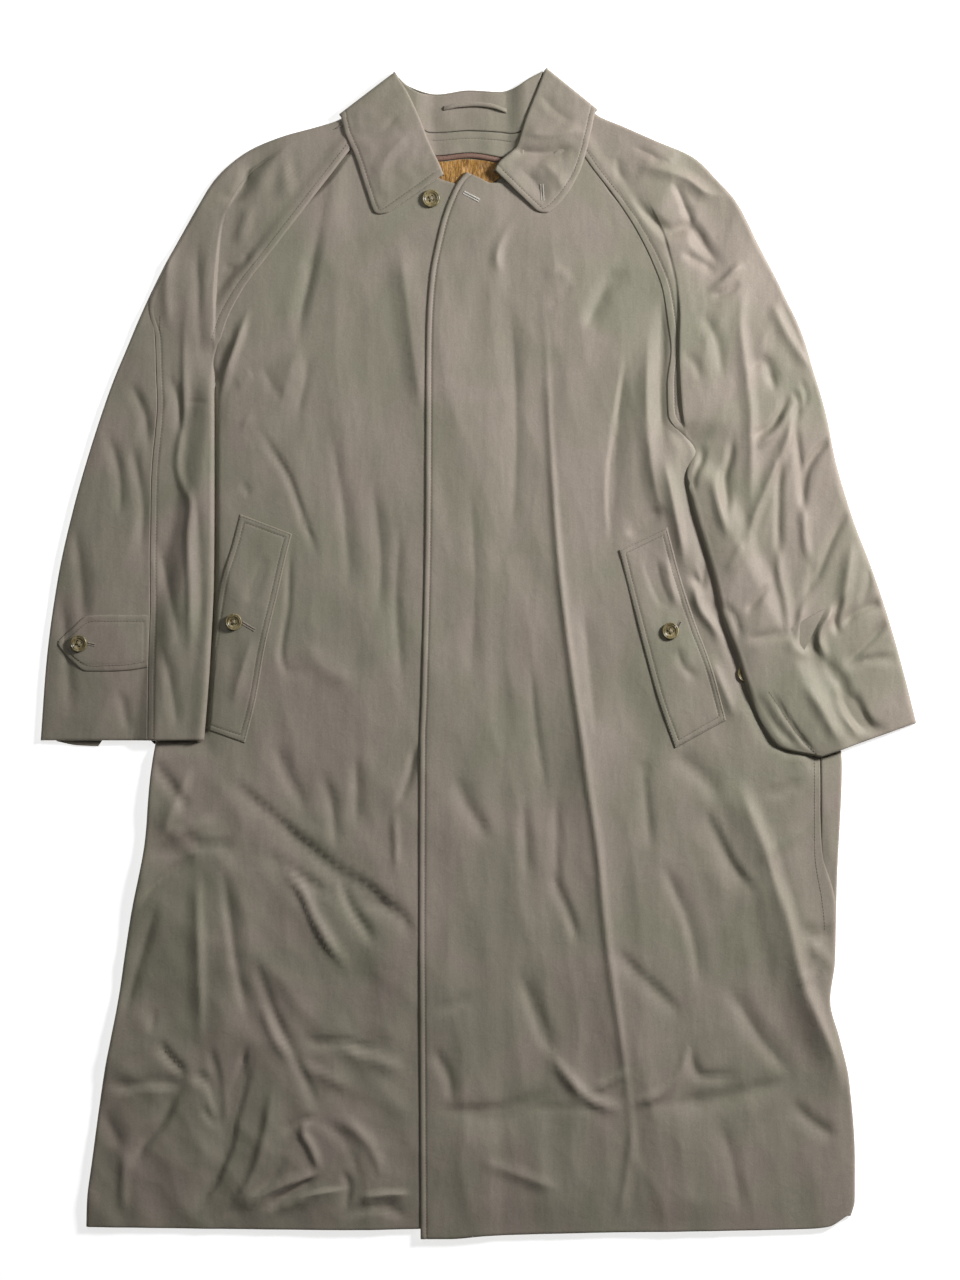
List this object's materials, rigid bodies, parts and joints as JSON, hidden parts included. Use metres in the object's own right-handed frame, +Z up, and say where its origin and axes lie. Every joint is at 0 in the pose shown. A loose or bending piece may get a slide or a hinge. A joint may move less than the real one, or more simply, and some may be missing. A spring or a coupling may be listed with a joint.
{
  "type": "balmacaan coat",
  "caption": "Balmacaan coat in taupe gabardine, laid flat on its back, with fly front, raglan sleeves, open collar, pocket welts, cuff tabs and horn buttons.",
  "frame": {"origin": "On the table, under the middle of the box round the coat.", "axes": "+Y runs along the coat from the hem to the collar, +Z up from the table and out of the coat's front, +X to the coat's own left sleeve."},
  "size_m": [0.877, 1.1705, 0.0184],
  "materials": {
    "cloth": "fine two-tone gabardine with a slight sheen",
    "lining": "gold satin pile",
    "piping": "dull satin",
    "button": "polished mottled horn"
  },
  "bodies": {
    "root": {"back_panel": "cloth", "front_right": "cloth", "front_left": "cloth", "sleeve_right_back": "cloth", "sleeve_right_front": "cloth", "sleeve_left_back": "cloth", "sleeve_left_front": "cloth", "collar_fall": "cloth", "collar_stand": "cloth", "neck_facing": "cloth", "neck_piping": "piping", "lining": "lining", "hanger_loop": "cloth", "pocket_welt_right": "cloth", "pocket_welt_left": "cloth", "cuff_tab_right": "cloth", "cuff_tab_left": "cloth", "button_front_top": "button", "button_pocket_right": "button", "button_pocket_left": "button", "button_cuff_right": "button", "button_cuff_left": "button"}
  },
  "joints": []
}
